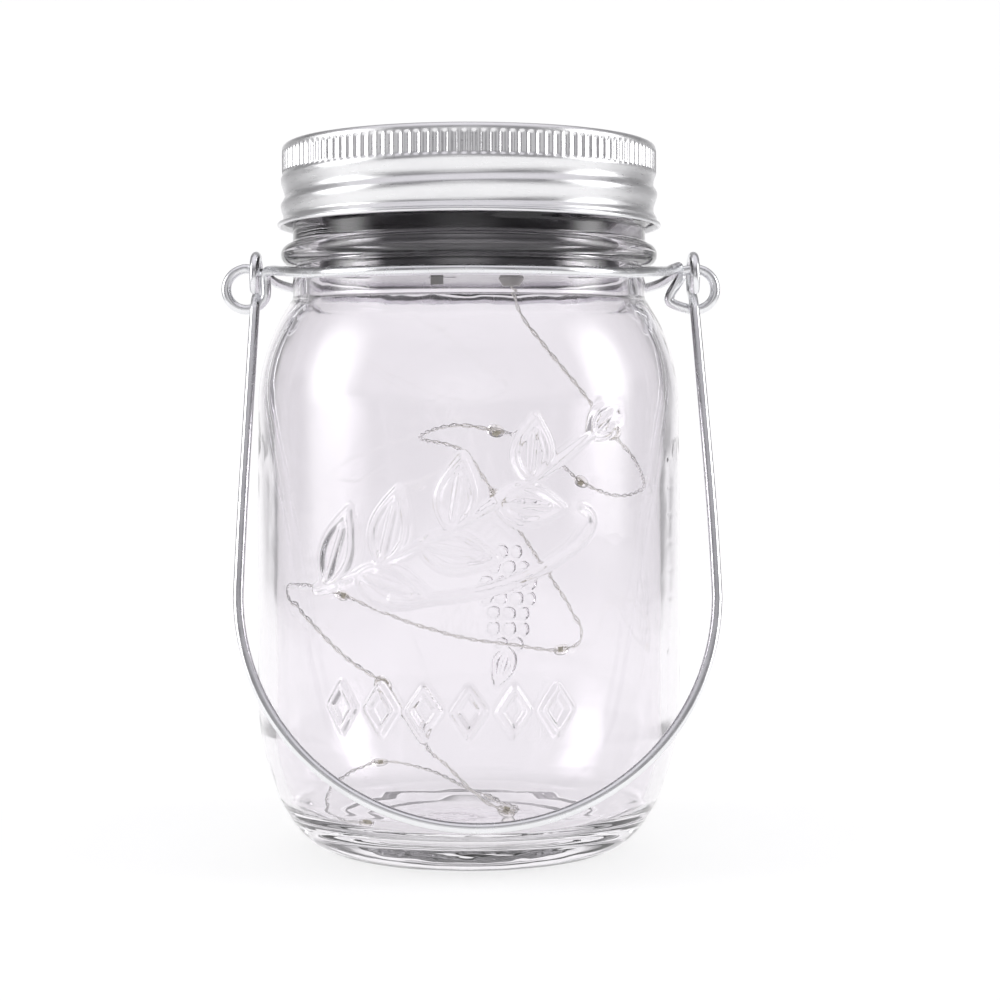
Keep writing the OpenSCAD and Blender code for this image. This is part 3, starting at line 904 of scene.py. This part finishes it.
def paper_material():
    """Paper with a glow of its own, so that it reads as white, and falls off past the view."""
    m = shader("paper", (0.34, 0.34, 0.34), 0.8)
    fibre = noise_of(m, 40, 3.0)
    vary(m, fibre, "Fac", "Base Color", (0.335, 0.335, 0.335), (0.345, 0.345, 0.345))
    where = node(m, "ShaderNodeTexCoord")
    xyz = node(m, "ShaderNodeSeparateXYZ")
    link(m, where, "Object", xyz, "Vector")
    aside = node(m, "ShaderNodeMath", operation="ABSOLUTE")
    link(m, xyz, "X", aside, 0)
    front = node(m, "ShaderNodeMath", operation="MULTIPLY")
    front.inputs[1].default_value = -1.0
    link(m, xyz, "Y", front, 0)
    glow = node(m, "ShaderNodeValue")
    glow.outputs[0].default_value = PAPER_GLOW
    for fall in (lit_until(m, aside, 0, 0.3, 0.5), lit_until(m, xyz, "Z", 0.33, 0.55),
                 lit_until(m, front, 0, 0.7, 1.3)):
        product = node(m, "ShaderNodeMath", operation="MULTIPLY")
        link(m, glow, 0, product, 0)
        link(m, fall, "Result", product, 1)
        glow = product
    bsdf = m.node_tree.nodes["Principled BSDF"]
    bsdf.inputs["Emission Color"].default_value = (1, 1, 1, 1)
    link(m, glow, 0, bsdf, "Emission Strength")
    return m


def cyclorama():
    """A pale floor that curves up into a back wall and gives off its own even light."""
    wide, near, far, round_r, tall = 1.6, -1.5, 0.75, 0.3, 1.7
    a = np.radians(np.linspace(-90, 0, 17))
    curve = np.stack([far - round_r + round_r * np.cos(a), round_r + round_r * np.sin(a)], 1)
    line = np.concatenate([[(near, 0.0)], [(0.0, 0.0)], curve, [(far, tall)]])
    points = [(x, y, z) for y, z in line for x in (-wide, wide)]
    faces = [(2 * i, 2 * i + 1, 2 * i + 3, 2 * i + 2) for i in range(len(line) - 1)]
    mesh = bpy.data.meshes.new("cyclorama")
    mesh.from_pydata(points, [], faces)
    mesh.polygons.foreach_set("use_smooth", [True] * len(mesh.polygons))
    mesh.materials.append(paper_material())
    sweep = bpy.data.objects.new("cyclorama", mesh)
    bpy.context.scene.collection.objects.link(sweep)


CEILING_FROM = 0.5
CEILING_TO = 0.9


def room(tone, level, zenith):
    """A dim studio room with a lit ceiling."""
    world = bpy.data.worlds.new("room")
    bpy.context.scene.world = world
    world.use_nodes = True
    tree = world.node_tree
    where = tree.nodes.new("ShaderNodeTexCoord")
    xyz = tree.nodes.new("ShaderNodeSeparateXYZ")
    fade = tree.nodes.new("ShaderNodeMapRange")
    fade.interpolation_type = "SMOOTHSTEP"
    for key, value in (("From Min", CEILING_FROM), ("From Max", CEILING_TO),
                       ("To Min", level), ("To Max", zenith)):
        fade.inputs[key].default_value = value
    back = tree.nodes["Background"]
    back.inputs["Color"].default_value = (*tone, 1)
    tree.links.new(where.outputs["Generated"], xyz.inputs["Vector"])
    tree.links.new(xyz.outputs["Z"], fade.inputs["Value"])
    tree.links.new(fade.outputs["Result"], back.inputs["Strength"])


BOX_FULL = 0.04
BOX_EDGE = 0.5
BOX_PEAK = 1.7


def soften(data):
    """Lets a softbox fade towards its edges, as a diffuser does."""
    data.use_nodes = True
    tree = data.node_tree
    spot = tree.nodes.new("ShaderNodeNewGeometry")
    uv = tree.nodes.new("ShaderNodeSeparateXYZ")
    tree.links.new(spot.outputs["Parametric"], uv.inputs["Vector"])
    sides = []
    for axis in ("X", "Y"):
        off = tree.nodes.new("ShaderNodeMath")
        off.operation = "SUBTRACT"
        off.inputs[1].default_value = 0.5
        tree.links.new(uv.outputs[axis], off.inputs[0])
        size = tree.nodes.new("ShaderNodeMath")
        size.operation = "ABSOLUTE"
        tree.links.new(off.outputs[0], size.inputs[0])
        fall = tree.nodes.new("ShaderNodeMapRange")
        fall.interpolation_type = "SMOOTHSTEP"
        for key, value in (("From Min", BOX_FULL), ("From Max", BOX_EDGE),
                           ("To Min", BOX_PEAK), ("To Max", 0.0)):
            fall.inputs[key].default_value = value
        tree.links.new(size.outputs[0], fall.inputs["Value"])
        sides.append(fall)
    both = tree.nodes.new("ShaderNodeMath")
    both.operation = "MULTIPLY"
    tree.links.new(sides[0].outputs["Result"], both.inputs[0])
    tree.links.new(sides[1].outputs["Result"], both.inputs[1])
    tree.links.new(both.outputs[0], tree.nodes["Emission"].inputs["Strength"])


def softbox(name, place, wide, tall, power, aim=(0, 0, 0.08)):
    """A rectangular area light that faces the jar."""
    data = bpy.data.lights.new(name, "AREA")
    data.shape = "RECTANGLE"
    data.size = wide
    data.size_y = tall
    data.energy = power
    soften(data)
    lamp = bpy.data.objects.new(name, data)
    lamp.location = place
    away = Vector(place) - Vector(aim)
    lamp.rotation_mode = "QUATERNION"
    lamp.rotation_quaternion = away.to_track_quat("Z", "Y")
    bpy.context.scene.collection.objects.link(lamp)


def light_paths():
    """Let light go on inside the thick glass instead of ending in black after four reflections."""
    cycles = bpy.context.scene.cycles
    cycles.max_bounces = 24
    cycles.glossy_bounces = 12
    cycles.transmission_bounces = 24


cyclorama()
room((0.97, 0.95, 1.0), 0.24, 0.9)
softbox("left_box", (-0.8, -0.12, 0.32), 0.65, 0.95, 3.5)
softbox("right_box", (0.8, -0.12, 0.32), 0.6, 0.95, 3.5)
softbox("front_box", (-0.1, -1.7, 0.4), 2.0, 1.1, 1.4)
light_paths()
bpy.context.scene.view_settings.view_transform = "Standard"
